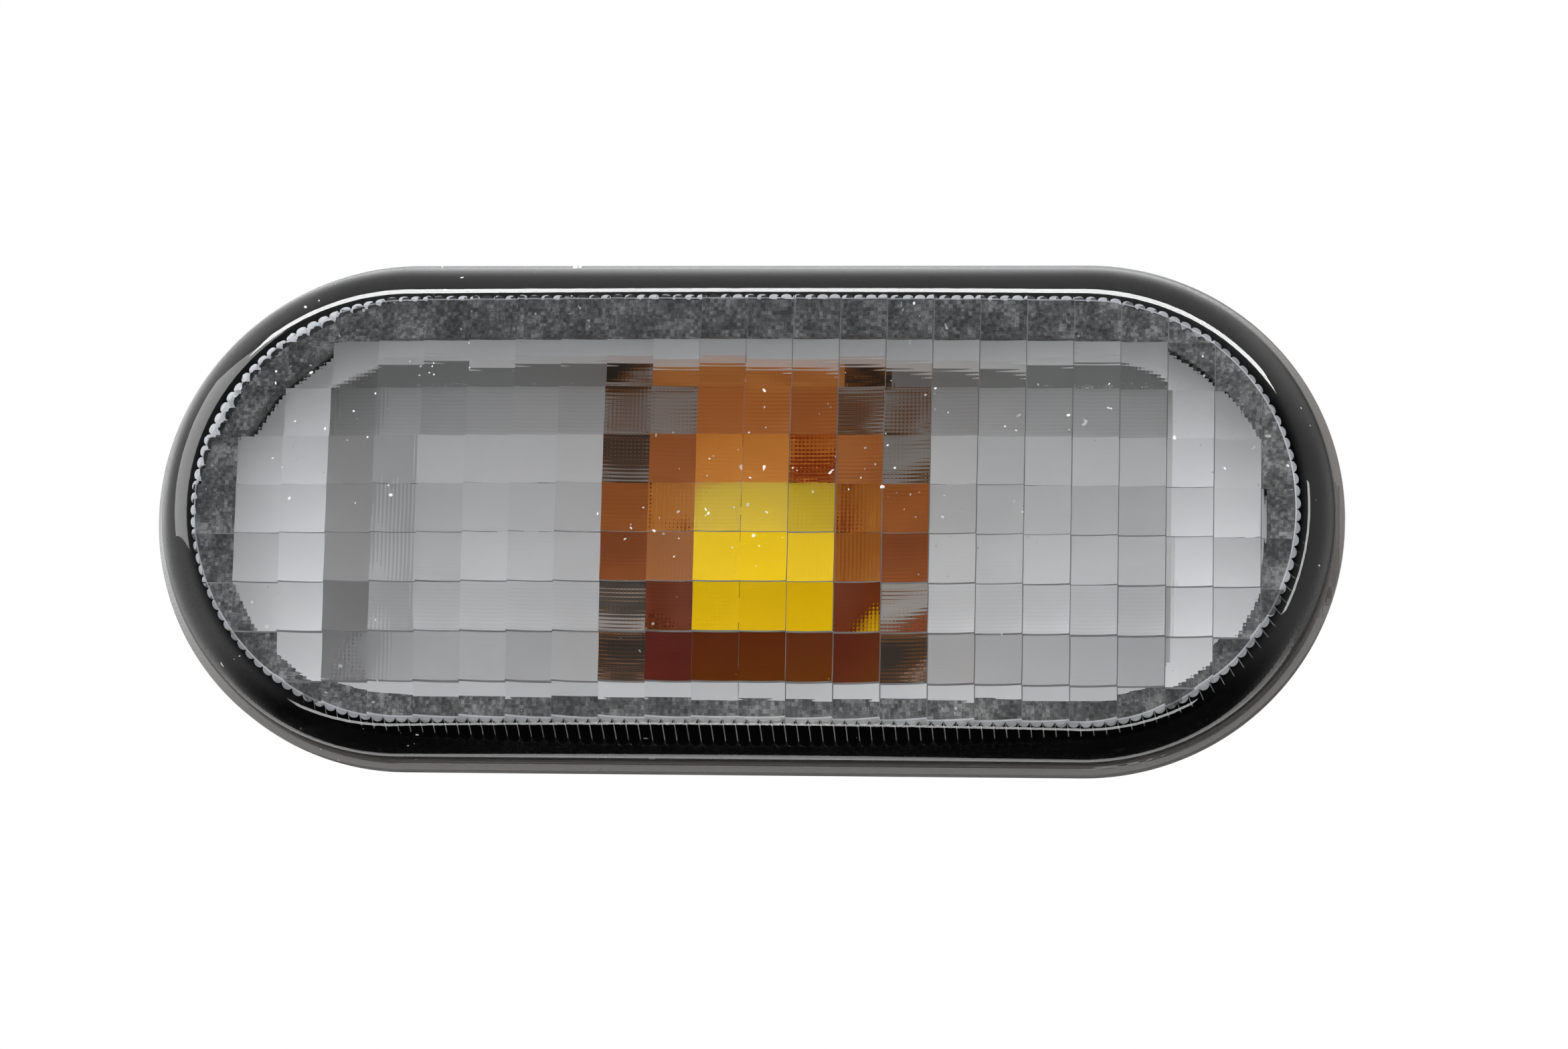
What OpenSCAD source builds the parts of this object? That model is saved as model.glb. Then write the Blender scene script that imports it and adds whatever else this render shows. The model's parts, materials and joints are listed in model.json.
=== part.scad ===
// Oval side repeater lamp: clear prism lens welded to a black tub, with a grey reflector,
// an amber inner cap, and a twist-in holder for a wedge-base bulb.
// X runs along the lamp, Z is up as fitted, and the lens faces -Y.
// The origin is the middle of the flange's rear face, which seats on the body panel.

/* [Lens] */
// Length of the lamp over the lens rim
lamp_l = 104; // [94:1:120]
// Height of the lamp over the lens rim
lamp_h = 45; // [42:1:52]
// How far the middle of the lens stands in front of the panel
lens_rise = 10.4; // [9.6:0.2:13]
// Crown radius along the lamp
crown_rx = 550; // [400:10:900]
// Crown radius across the lamp
crown_rz = 96; // [80:1:160]
// Thickness of the clear front wall
front_t = 2.4; // [2:0.1:3]
// Depth of the square lip around the lens rim
lip_d = 1.9; // [1.6:0.1:2.6]
// Step from the lip to the side wall
lip_step = 0.35; // [0.2:0.05:0.6]
// Height of the side wall behind the shoulder
side_d = 2.0; // [1.4:0.1:2.6]
// Width of the rounded shoulder
shoulder_w = 3.4; // [2.6:0.1:4]
// Distance from the rim to the fluted inner wall
flute_inset = 3.8; // [3.4:0.1:4.6]
// Distance from one flute to the next
flute_pitch = 1.06; // [0.9:0.02:1.6]
// Depth of a flute
flute_d = 0.34; // [0.2:0.02:0.5]
// Width of one prism cell
prism_w = 4.04; // [3.6:0.02:5]
// Height of one prism cell
prism_h = 4.26; // [3.6:0.02:5]
// Where the first upright prism line lies, to the right of the middle
prism_x = 0.36; // [0:0.02:4]
// Where the first level prism line lies, above the middle
prism_z = 1.69; // [0:0.01:4]
// Slope that a prism gains with each cell away from the middle
prism_gain = 0.07; // [0.02:0.01:0.1]
// Steepest slope of a prism
prism_max = 0.2; // [0.1:0.01:0.24]

/* [Housing] */
// Thickness of the flange behind the lens
flange_t = 2.0; // [1.8:0.1:2.6]
// How far the lens lip reaches past the flange
flange_inset = 0.8; // [0.6:0.1:1.2]
// Distance from the lens rim to the outside of the tub
tub_inset = 5.2; // [5:0.1:6]
// Thickness of the tub's side wall
tub_t = 1.5; // [1.2:0.1:2]
// Thickness of the tub's floor
floor_t = 2; // [1.8:0.1:2.6]
// Width of the ledge that carries the reflector
ledge_w = 0.8; // [0.5:0.1:1.6]
// Outside diameter of the rear collar
collar_d = 26; // [25.6:0.2:28]
// Height of the rear collar behind the tub's floor
collar_h = 2; // [1.6:0.1:3]
// Width of the fixing hook
hook_w = 12; // [8:1:16]
// Reach of the fixing hook past the tub
hook_reach = 3.4; // [2.6:0.1:4]
// Gap behind the flange that takes the panel's edge
panel_gap = 2.6; // [2:0.1:3]
// Height of the hook behind that gap
hook_h = 4; // [3:0.5:6]
// Thickness of the two webs that carry the hook
hook_web = 1.2; // [1:0.1:1.6]
// Thickness of the ribs on the tub's floor
rib_t = 1.2; // [1:0.1:1.6]
// Height of the ribs on the tub's floor
rib_h = 1.2; // [0.8:0.1:1.6]
// Distance from a rib's end to the tub's outside
rib_end = 6; // [4:0.5:8]
// Diameter of the breather hole
vent_d = 2.4; // [1.6:0.2:3]
// Width of the membrane's stuck-on rim
vent_rim = 2.4; // [2:0.1:3]
// Thickness of the membrane
membrane_t = 0.4; // [0.2:0.1:0.6]
// How far the breather hole lies from the middle
vent_x = 30; // [27:1:36]

/* [Gasket] */
// Distance from the flange's edge to the gasket groove
groove_inset = 1.3; // [1.1:0.1:1.6]
// Width of the gasket groove
groove_w = 1.9; // [1.5:0.1:2]
// Depth of the gasket groove
groove_d = 1.0; // [0.8:0.1:1.1]
// How far the free gasket stands proud of the flange
gasket_proud = 0.8; // [0.5:0.1:1.2]

/* [Reflector] */
// Thickness of the reflector shell
refl_t = 1.2; // [1:0.1:1.5]
// Where the reflector's front face lies behind the panel face
refl_y = 0.9; // [0.6:0.1:1.4]
// Length of the dish opening
dish_l = 74; // [66:1:78]
// Height of the dish opening
dish_h = 27; // [25:0.5:28]
// Depth of the dish
dish_d = 9.6; // [9:0.1:10]
// Length that each sloping end wall takes up
dish_end = 3; // [1.5:0.25:5]
// Width of the boss around the cap's opening
boss_w = 3; // [2:0.1:3.6]

/* [Amber cap] */
// Inside diameter of the cap
cap_bore = 13.4; // [12.6:0.2:14.4]
// Wall of the cap
cap_t = 1.3; // [1:0.1:1.6]
// Flange thickness of the cap
cap_flange_t = 1.3; // [1:0.1:1.6]

/* [Bulb] */
// Diameter of the bulb's glass
bulb_d = 10.3; // [9.6:0.1:10.6]
// Length of the bulb, wedge base included
bulb_l = 26.8; // [25:0.2:27]
// Width of the wedge base
base_w = 9.4; // [9:0.1:9.6]
// Thickness of the wedge base
base_t = 2.2; // [2:0.1:2.4]
// Length of the wedge base
base_l = 9; // [8:0.2:9.4]
// Wall of the bulb's glass
glass_t = 0.7; // [0.5:0.05:0.9]
// Diameter of the lead wires
lead_d = 0.5; // [0.4:0.05:0.6]
// Distance between the lead wires
lead_gap = 5; // [4.6:0.1:5.4]
// Diameter of the coiled filament
coil_d = 0.6; // [0.4:0.05:0.8]
// Distance from the bulb's tip to the filament
coil_set = 8.6; // [7:0.2:10]

/* [Bulb holder] */
// Diameter of the holder's stem
stem_d = 17.2; // [16.6:0.2:18]
// Clearance around the stem and the lugs
twist_gap = 0.3; // [0.2:0.05:0.4]
// How far a bayonet lug stands out of the stem
lug_out = 1.8; // [1.4:0.1:2]
// Width of a bayonet lug
lug_w = 4.6; // [4:0.2:5.4]
// Thickness of a bayonet lug
lug_t = 1.6; // [1.2:0.1:1.8]
// Turn between locked and free
twist = 40; // [30:1:45]
// Room between the cap's flange and the lugs
lug_room = 0.4; // [0.3:0.1:3]
// How far the bulb's base reaches behind the sealing flange's front
bulb_seat = 10; // [9:0.1:11]
// How far the holder's sealing flange stands inside the collar's edge
cover_in = 0.6; // [0.4:0.1:1]
// Thickness of the holder's sealing flange
cover_t = 2; // [1.6:0.1:2.6]
// Thickness of the seal ring when pressed
seal_t = 1.4; // [1:0.1:1.8]
// Width of the seal ring
seal_w = 2.2; // [1.8:0.1:2.6]
// Length of the plug shroud
shroud_l = 21; // [19:0.5:24]
// Outside width of the plug shroud
shroud_w = 16; // [15:0.5:18]
// Outside height of the plug shroud
shroud_h = 10.4; // [9.6:0.2:12]
// Wall of the plug shroud
shroud_t = 1.3; // [1:0.1:1.6]
// Width of a terminal blade
blade_w = 2.8; // [2.2:0.2:3]
// Thickness of a terminal blade
blade_t = 0.8; // [0.6:0.1:0.8]
// Length of blade inside the shroud
blade_l = 5; // [4:0.5:6]
// Width of a finger grip beside the shroud
grip_w = 3.2; // [2.4:0.1:3.6]
// Thickness of a finger grip
grip_t = 2.2; // [1.6:0.1:3]
// Length of a finger grip
grip_l = 6; // [4:0.5:8]

/* [Spring] */
// Thickness of the spring steel
steel_t = 0.5; // [0.4:0.05:0.6]
// Width of the spring
steel_w = 9; // [7:0.5:11]
// How far the spring's nose stands out from its post
steel_out = 1.5; // [1:0.1:3]
// Length of the post that carries the spring
post_l = 9; // [8:0.5:10]
// Wall of that post beside and behind the slot
post_t = 1.1; // [1:0.1:1.6]
// Distance from the panel's edge to the post
post_step = 1.4; // [1:0.1:2]

/* [Hidden] */
// clearance between pieces that are pushed together
fit = 0.15;
eps = 0.01;

// the lens
cell_lap = 0.04;
rim_r = lamp_h / 2;
mid_x = lamp_l / 2 - rim_r;
lens_rear = -0.3;
lip_front = lens_rear - lip_d;
side_front = lip_front - side_d;
shoulder_in = lip_step + 0.1;
ridge = 0.5;
crown_steps = 6;
end_steps = 32;
side_steps = 12;
shoulder_steps = 6;
ring_count = 2 * (end_steps + side_steps);

// the tub
tub_in = tub_inset + tub_t;
well_in = tub_in + ledge_w;
vent_pad = vent_d / 2 + vent_rim;
ledge_y = refl_y + refl_t;
hook_slope = 28;
hook_y = panel_gap;
tub_end = lamp_l / 2 - tub_inset;

// the reflector dish: a trough with a round section
dish_r = (dish_h * dish_h / 4 + dish_d * dish_d) / (2 * dish_d);
dish_y = refl_y + dish_d;
dish_cy = dish_y - dish_r;
boss_y = dish_y + refl_t;

// the bayonet, stacked behind the reflector and the cap's flange
lug_gap = 0.2;
cap_seat = boss_y + cap_flange_t;
lug_front = cap_seat + lug_room;
lug_rear = lug_front + lug_t;
floor_y = lug_rear + lug_gap;
tub_d = floor_y + floor_t;
collar_y = tub_d + collar_h;
bore_r = stem_d / 2 + twist_gap;
lug_r = stem_d / 2 + lug_out;
neck_bore = lug_r + twist_gap;
neck_r = collar_d / 2;

// the bulb, carried by the holder
cover_y = collar_y + seal_t;
bulb_rear = cover_y + bulb_seat;
bulb_front = bulb_rear - bulb_l;
base_front = bulb_rear - base_l;
coil_y = bulb_front + coil_set;
coil_sweep = 84;
pinch_l = 2;
base_play = 0.4;

// the cap stands on the neck and its dome reaches into the dish
cap_r = cap_bore / 2 + cap_t;
cap_room = 1;
cap_top = bulb_front - cap_room - cap_t;

// the holder
seal_y = collar_y;
seal_r = stem_d / 2 + twist_gap / 2;
cover_r = neck_r - cover_in;
grip_y = cover_y + cover_t;
shroud_y = grip_y + shroud_l;
leaf_t = 0.5;
leaf_w = 2.6;
leaf_z = base_t / 2 + lead_d + 0.05;
socket_floor = bulb_rear + lead_d + leaf_t + 0.1;
web_t = 1.4;
well_r = bulb_d / 2 + 0.5;
hollow_y = socket_floor + web_t;
socket_h = 2 * (leaf_z + leaf_t + fit);
socket_w = base_w + 2 * fit;
contact_x = lead_gap / 2;
blade_y = hollow_y + blade_l;

// the spring and its post
post_w = steel_w + 2 * post_t;
post_y0 = panel_gap + post_step;
post_y1 = post_y0 + post_l;
slot_x = tub_end + post_t / 2;
slot_t = steel_t + 2 * eps;
spring_play = 0.3;
nose_half = 1;

// points along the lamp's outline: the centre line's x, then the direction outwards
outline = concat(
    [for (i = [0:end_steps]) let (a = -90 + 180 * i / end_steps) [mid_x, cos(a), sin(a)]],
    [for (i = [1:side_steps - 1]) [mid_x * (1 - 2 * i / side_steps), 0, 1]],
    [for (i = [0:end_steps]) let (a = 90 + 180 * i / end_steps) [-mid_x, cos(a), sin(a)]],
    [for (i = [1:side_steps - 1]) [-mid_x * (1 - 2 * i / side_steps), 0, -1]]);

// height of the crowned face over a point
function crown(x, z) = -lens_rise + x * x / (2 * crown_rx) + z * z / (2 * crown_rz);

// one ring of the lens skin: rise 0 is the side wall's front edge and rise 1 is on the crown
function skin_ring(inset, rise, back) = [for (p = outline)
    let (x = p[0] + (rim_r - inset) * p[1], z = (rim_r - inset) * p[2])
    [x, back + (crown(x, z) - back) * rise, z]];

function shoulder_ring(k) = let (a = 90 * k / shoulder_steps)
    skin_ring(shoulder_in + shoulder_w * (1 - cos(a)), sin(a), side_front);

shoulder_end = shoulder_in + shoulder_w;
crown_insets = [for (k = [1:crown_steps]) shoulder_end + (rim_r - ridge - shoulder_end) * k / crown_steps];
skin = concat(
    [skin_ring(0, 0, lens_rear), skin_ring(0, 0, lip_front)],
    [skin_ring(lip_step, 0, lip_front - 0.1)],
    [for (k = [0:shoulder_steps]) shoulder_ring(k)],
    [for (s = crown_insets) skin_ring(s, 1, 0)]);

// a stadium outline at a distance inside the lamp's rim
module stadium(inset) {
    square([2 * mid_x, 2 * (rim_r - inset)], center = true);
    for (s = [-1, 1]) translate([s * mid_x, 0]) circle(r = rim_r - inset, $fn = 96);
}

// that outline as a slab between two depths
module slab(inset, y0, y1) {
    translate([0, y1, 0]) rotate([90, 0, 0]) linear_extrude(y1 - y0) stadium(inset);
}

module rod(r, y0, y1) {
    translate([0, y1, 0]) rotate([90, 0, 0]) cylinder(r = r, h = y1 - y0, $fn = 96);
}

// a profile of radius and depth, turned about the lamp's axis
module turned() {
    rotate([-90, 0, 0]) rotate_extrude($fn = 96) children();
}

module block(x0, x1, y0, y1, z0, z1) {
    translate([x0, y0, z0]) cube([x1 - x0, y1 - y0, z1 - z0]);
}

// the outside of the lens as one skin over the rings, closed along its middle line
module lens_skin() {
    rings = len(skin);
    n = ring_count;
    last = (rings - 1) * n;
    half = end_steps / 2;
    polyhedron(points = [for (r = skin) each r], faces = concat(
        [[for (i = [0:n - 1]) n - 1 - i]],
        [for (r = [0:rings - 2], i = [0:n - 1])
            let (a = r * n + i, b = r * n + (i + 1) % n) [a, b, b + n, a + n]],
        [for (j = [0:n / 2 - 1])
            let (a = half + j, b = a + 1, c = (half - j - 1 + n) % n, d = (half - j + n) % n)
            j == 0 ? [last + a, last + b, last + c]
            : j == n / 2 - 1 ? [last + a, last + b, last + d]
            : [last + a, last + b, last + c, last + d]]));
}

// the fluted outline of the lens's inner wall
module fluted_outline() {
    r = rim_r - flute_inset;
    straight = 2 * mid_x;
    arc = PI * r;
    count = 2 * round((straight + arc) / flute_pitch);
    loop = 2 * (straight + arc);
    steps = 4;
    wave = [0, 0.8, 1, 0.8];
    polygon([for (i = [0:count * steps - 1])
        let (s = loop * i / (count * steps), out = r + flute_d * wave[i % steps])
        s < straight ? [s - mid_x, -out]
        : s < straight + arc ? let (a = -90 + 180 * (s - straight) / arc)
            [mid_x + out * cos(a), out * sin(a)]
        : s < 2 * straight + arc ? [mid_x - (s - straight - arc), out]
        : let (a = 90 + 180 * (s - 2 * straight - arc) / arc) [-mid_x + out * cos(a), out * sin(a)]]);
}

// the hollow behind one prism: a column that ends in the sloping facet
module prism_cell(xc, zc) {
    sx = xc / crown_rx - sign(xc) * min(prism_max, prism_gain * abs(xc) / prism_w);
    sz = zc / crown_rz - sign(zc) * min(prism_max, prism_gain * abs(zc) / prism_h);
    front = crown(xc, zc) + front_t + (abs(sx) * prism_w + abs(sz) * prism_h) / 2;
    hull() {
        multmatrix([[1, 0, 0, xc], [sx, 1, sz, front], [0, 0, 1, zc]])
            cube([prism_w + cell_lap, eps, prism_h + cell_lap], center = true);
        translate([xc, 1, zc]) cube([prism_w + cell_lap, eps, prism_h + cell_lap], center = true);
    }
}

module prism_field() {
    cols = ceil(lamp_l / 2 / prism_w) + 1;
    rows = ceil(lamp_h / 2 / prism_h) + 1;
    for (i = [-cols:cols], j = [-rows:rows]) {
        xc = prism_x + (i + 0.5) * prism_w;
        zc = prism_z + (j + 0.5) * prism_h;
        if (norm([max(0, abs(xc) - mid_x), zc]) < rim_r) prism_cell(xc, zc);
    }
}

module lens() {
    color([0.86, 0.88, 0.9, 0.45]) difference() {
        lens_skin();
        slab(flange_inset - 0.05, -flange_t, 1);
        intersection() {
            translate([0, 1, 0]) rotate([90, 0, 0]) linear_extrude(lens_rise + 1) fluted_outline();
            prism_field();
        }
    }
}

// the fixing hook, which goes behind the panel's edge at the lamp's left end
module hook() {
    difference() {
        block(-tub_end - hook_reach, -tub_end + 1, hook_y, hook_y + hook_h, -hook_w / 2, hook_w / 2);
        translate([-tub_end - hook_reach, hook_y, 0]) rotate([0, 0, -hook_slope])
            block(-hook_h, 0, -hook_h, 2 * hook_h, -hook_w, hook_w);
    }
    for (z = [-hook_w / 2, hook_w / 2 - hook_web])
        block(-tub_end - hook_web, -tub_end + 1, hook_y + hook_h - eps, tub_d - floor_t / 2, z, z + hook_web);
}

// the slotted post that the spring is pushed on to, at the lamp's right end
module spring_post() {
    block(tub_end - 1, slot_x + slot_t + post_t, post_y0, post_y1, -post_w / 2, post_w / 2);
}

module spring_slot() {
    block(slot_x, slot_x + slot_t, post_y0 - 1, post_y1 + 1,
        -steel_w / 2 - fit, steel_w / 2 + fit);
}

// stiffening ribs across the outside of the tub's floor
module floor_ribs() {
    reach = tub_end - rib_end;
    for (s = [-1, 1]) {
        block(s > 0 ? neck_r - 1 : -reach, s > 0 ? vent_x - vent_pad - rib_t : 1 - neck_r,
            tub_d - eps, tub_d + rib_h, -rib_t / 2, rib_t / 2);
        translate([s * (neck_r + 2 * rib_t), tub_d - eps, 0])
            block(-rib_t / 2, rib_t / 2, 0, rib_h + eps, tub_in - rim_r, rim_r - tub_in);
    }
}

module bayonet_notches(extra) {
    for (a = [0, 120, 240]) rotate([0, a + twist, 0])
        block(0, lug_r + extra, floor_y - 1, collar_y + 1, -lug_w / 2 - extra, lug_w / 2 + extra);
}

module housing() {
    color([0.06, 0.06, 0.07]) difference() {
        union() {
            difference() {
                union() {
                    slab(flange_inset, -flange_t, 0);
                    slab(tub_inset, -eps, tub_d);
                    rod(neck_r, tub_d - eps, collar_y);
                    floor_ribs();
                    hook();
                    spring_post();
                }
                slab(tub_in, -flange_t - 1, ledge_y);
                slab(well_in, ledge_y - eps, floor_y);
            }
            rod(neck_r, cap_seat, floor_y + eps);
        }
        rod(neck_bore, cap_seat - 1, floor_y);
        rod(bore_r, floor_y - 1, collar_y + 1);
        bayonet_notches(twist_gap);
        difference() {
            slab(flange_inset + groove_inset, -groove_d, 1);
            slab(flange_inset + groove_inset + groove_w, -groove_d - 1, 2);
        }
        spring_slot();
        translate([vent_x, 0, 0]) rod(vent_d / 2, floor_y - 1, tub_d + 1);
    }
}

// the shape of the dish, grown by a wall for its outside and kept clear of the tub's ledge
module dish_shape(wall) {
    top = dish_l / 2 + wall;
    low = top - dish_end;
    y0 = refl_y - (wall > 0 ? 0 : 1);
    y1 = dish_y + wall;
    slope = dish_end / dish_d;
    x0 = top + (wall > 0 ? 0 : slope);
    intersection() {
        translate([0, dish_cy, 0]) rotate([0, 90, 0])
            cylinder(r = dish_r + wall, h = 3 * dish_l, center = true, $fn = 128);
        translate([0, 0, -rim_r]) linear_extrude(2 * rim_r)
            polygon([[-x0, y0], [x0, y0], [low, y1], [-low, y1]]);
        slab(well_in + fit + refl_t - wall, y0, y1);
    }
}

module reflector() {
    color([0.62, 0.63, 0.64]) difference() {
        union() {
            slab(tub_in + fit, refl_y, refl_y + refl_t);
            dish_shape(refl_t);
            rod(cap_r + boss_w, dish_y - boss_w, boss_y);
        }
        dish_shape(0);
        rod(cap_r + fit, refl_y, boss_y + 1);
    }
}

// half of a round-ended profile: from the axis over the dome and down to a depth
function dome_profile(r, top, down) = concat(
    [[0, down]], [for (i = [0:12]) [r * sin(90 * i / 12), top + r * (1 - cos(90 * i / 12))]], [[r, down]]);

module amber_cap() {
    color([0.96, 0.6, 0.06]) difference() {
        union() {
            turned() polygon(dome_profile(cap_r, cap_top, cap_seat));
            intersection() {
                rod(cover_r, boss_y, cap_seat);
                slab(well_in + fit, boss_y - 1, cap_seat + 1);
            }
        }
        turned() polygon(dome_profile(cap_bore / 2, cap_top + cap_t, cap_seat + 1));
    }
}

module panel_gasket() {
    inset = flange_inset + groove_inset;
    color([0.12, 0.12, 0.13]) difference() {
        slab(inset + 0.05, -groove_d, gasket_proud);
        slab(inset + groove_w - 0.05, -groove_d - 1, gasket_proud + 1);
    }
}

// bent strip: a leg in the slot, a turn behind the post, and a bowed leg with its nose outside
module retaining_spring() {
    x0 = slot_x + eps;
    x1 = slot_x + slot_t + post_t + spring_play;
    rear = post_y1 + spring_play;
    nose = (post_y0 + post_y1) / 2 - nose_half;
    foot = post_y0 - nose_half;
    t = steel_t;
    out = steel_out;
    color([0.72, 0.73, 0.75]) translate([0, 0, -steel_w / 2]) linear_extrude(steel_w)
        polygon([[x0, foot], [x0, rear + t], [x1 + t, rear + t], [x1 + out, nose + nose_half],
            [x1 + out, nose - nose_half], [x1 + 2 * t, foot], [x1 + t, foot],
            [x1 + out - t, nose - nose_half], [x1 + out - t, nose + nose_half], [x1, rear],
            [x0 + t, rear], [x0 + t, foot]]);
}

module vent_membrane() {
    color([0.85, 0.85, 0.83]) translate([vent_x, 0, 0]) rod(vent_pad, tub_d, tub_d + membrane_t);
}

module holder_seal() {
    color([0.5, 0.16, 0.1]) difference() {
        rod(seal_r + seal_w, seal_y, cover_y);
        rod(seal_r, seal_y - 1, cover_y + 1);
    }
}

module bayonet_lugs() {
    intersection() {
        rod(lug_r, lug_front, lug_rear);
        for (a = [0, 120, 240]) rotate([0, a, 0])
            block(0, lug_r + 1, lug_front, lug_rear, -lug_w / 2, lug_w / 2);
    }
}

module holder_body() {
    color([0.2, 0.2, 0.22]) difference() {
        union() {
            rod(stem_d / 2, lug_front, cover_y + eps);
            bayonet_lugs();
            rod(cover_r, cover_y, grip_y);
            block(-shroud_w / 2, shroud_w / 2, grip_y - eps, shroud_y, -shroud_h / 2, shroud_h / 2);
            for (s = [-1, 1]) translate([s * (shroud_w + grip_w) / 2, 0, 0])
                block(-grip_w / 2 - eps, grip_w / 2 + eps, grip_y - eps, grip_y + grip_l,
                    -grip_t / 2, grip_t / 2);
        }
        rod(well_r, lug_front - 1, base_front + base_play);
        block(-socket_w / 2, socket_w / 2, base_front, socket_floor, -socket_h / 2, socket_h / 2);
        block(-shroud_w / 2 + shroud_t, shroud_w / 2 - shroud_t, hollow_y, shroud_y + 1,
            -shroud_h / 2 + shroud_t, shroud_h / 2 - shroud_t);
        for (s = [-1, 1])
            block(s * contact_x - blade_w / 2 - eps, s * contact_x + blade_w / 2 + eps,
                socket_floor - 1, hollow_y + 1, -blade_t / 2 - eps, blade_t / 2 + eps);
    }
}

// one stamped contact: the blade for the plug, a cross strip, and two leaves on the bulb's base
module contact(side) {
    x = side * contact_x;
    color([0.8, 0.66, 0.3]) {
        block(x - blade_w / 2, x + blade_w / 2, socket_floor - leaf_t, blade_y, -blade_t / 2, blade_t / 2);
        block(x - leaf_w / 2, x + leaf_w / 2, socket_floor - leaf_t, socket_floor,
            -leaf_z - leaf_t, leaf_z + leaf_t);
        for (s = [-1, 1]) mirror([0, 0, s < 0 ? 1 : 0])
            block(x - leaf_w / 2, x + leaf_w / 2, base_front + pinch_l, socket_floor,
                leaf_z, leaf_z + leaf_t);
    }
}

module contact_left() { contact(-1); }
module contact_right() { contact(1); }

// a lead runs down through the base, turns round its end and lies back along one face
module lead_path(side, r) {
    face_z = base_t / 2 + lead_d / 2 + eps;
    end_y = bulb_rear + lead_d / 2 + eps;
    translate([side * lead_gap / 2, 0, 0]) {
        rod(r, coil_y, end_y + r);
        mirror([0, 0, side < 0 ? 1 : 0]) {
            translate([0, end_y, 0]) cylinder(r = r - 2 * eps, h = face_z, $fn = 96);
            translate([0, 0, face_z]) rod(r, base_front + pinch_l, end_y + r);
        }
    }
}

module bulb_glass() {
    color([0.9, 0.92, 0.93, 0.35]) difference() {
        union() {
            turned() polygon(concat([[0, base_front]],
                [for (i = [0:12]) [bulb_d / 2 * sin(90 * i / 12),
                    bulb_front + bulb_d / 2 * (1 - cos(90 * i / 12))]],
                [[bulb_d / 2, base_front - 2 * pinch_l], [base_t, base_front]]));
            block(-base_w / 2, base_w / 2, base_front - pinch_l, bulb_rear, -base_t / 2, base_t / 2);
        }
        turned() polygon(dome_profile(bulb_d / 2 - glass_t, bulb_front + glass_t, base_front - 2 * pinch_l));
        for (s = [-1, 1]) lead_path(s, lead_d / 2 + eps);
    }
}

module lead_wire(side) {
    color([0.6, 0.58, 0.55]) lead_path(side, lead_d / 2);
}

module lead_wire_left() { lead_wire(-1); }
module lead_wire_right() { lead_wire(1); }

// the coiled filament as its outer shape, bowed towards the lens
module filament() {
    chord = lead_gap - 0.1;
    bow = chord / 2 / sin(coil_sweep / 2);
    color([0.45, 0.45, 0.47])
        translate([0, coil_y - coil_d / 2 - 0.06 + bow * cos(coil_sweep / 2), 0])
            rotate([0, 0, -90 - coil_sweep / 2])
                rotate_extrude(angle = coil_sweep, $fn = 96) translate([bow, 0]) circle(d = coil_d, $fn = 24);
}

lens();
housing();
reflector();
amber_cap();
panel_gasket();
retaining_spring();
vent_membrane();
holder_body();
holder_seal();
bulb_glass();
filament();
lead_wire_left();
lead_wire_right();
contact_left();
contact_right();
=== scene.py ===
import json
import math
import random

import bmesh
import bpy
from mathutils import Matrix, Vector


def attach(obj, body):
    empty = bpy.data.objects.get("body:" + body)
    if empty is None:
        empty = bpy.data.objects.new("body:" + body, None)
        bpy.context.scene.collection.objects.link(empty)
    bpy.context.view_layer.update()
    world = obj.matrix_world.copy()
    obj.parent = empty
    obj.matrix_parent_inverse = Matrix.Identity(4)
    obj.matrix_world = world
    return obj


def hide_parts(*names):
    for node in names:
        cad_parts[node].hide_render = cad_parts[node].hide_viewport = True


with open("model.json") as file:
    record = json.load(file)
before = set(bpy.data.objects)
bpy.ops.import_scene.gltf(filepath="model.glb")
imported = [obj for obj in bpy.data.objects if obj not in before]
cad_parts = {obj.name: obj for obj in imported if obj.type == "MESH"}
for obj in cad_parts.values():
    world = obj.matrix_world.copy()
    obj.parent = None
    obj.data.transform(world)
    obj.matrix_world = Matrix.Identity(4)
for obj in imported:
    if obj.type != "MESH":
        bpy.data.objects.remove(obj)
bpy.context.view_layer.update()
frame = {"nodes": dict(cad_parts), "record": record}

mm = 0.001


# camera, set to the photo's viewing angle

cameraPlace = {
    "turn": 5.98,         # degrees to the lamp's right
    "lift": -10.91,       # degrees below the lamp's level
    "roll": 1.38,
    "distance": 464 * mm,
    "aim": (3.18 * mm, 0.0, -0.25 * mm),
    "focal": 7923.0,      # in pixels of a frame 2343 wide
    "frameWidth": 2343.0,
    "sensor": 36.0,
    "nearest": 20 * mm,
}


def addCamera(place):
    turn, lift, roll = (math.radians(place[k]) for k in ("turn", "lift", "roll"))
    away = Vector((math.sin(turn) * math.cos(lift), -math.cos(turn) * math.cos(lift), math.sin(lift)))
    right = (-away).cross(Vector((0, 0, 1))).normalized()
    up = right.cross(-away)
    rightRolled = math.cos(roll) * right + math.sin(roll) * up
    upRolled = math.cos(roll) * up - math.sin(roll) * right
    data = bpy.data.cameras.new("photoCamera")
    data.sensor_width = place["sensor"]
    data.lens = place["focal"] / place["frameWidth"] * place["sensor"]
    data.clip_start = place["nearest"]
    camera = bpy.data.objects.new("photoCamera", data)
    bpy.context.scene.collection.objects.link(camera)
    turned = Matrix((rightRolled, upRolled, away)).transposed().to_4x4()
    camera.matrix_world = Matrix.Translation(Vector(place["aim"]) + away * place["distance"]) @ turned
    bpy.context.scene.camera = camera


addCamera(cameraPlace)
print("camera set")


# the lens, as moulded; its clear finish follows the same crown

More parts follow.
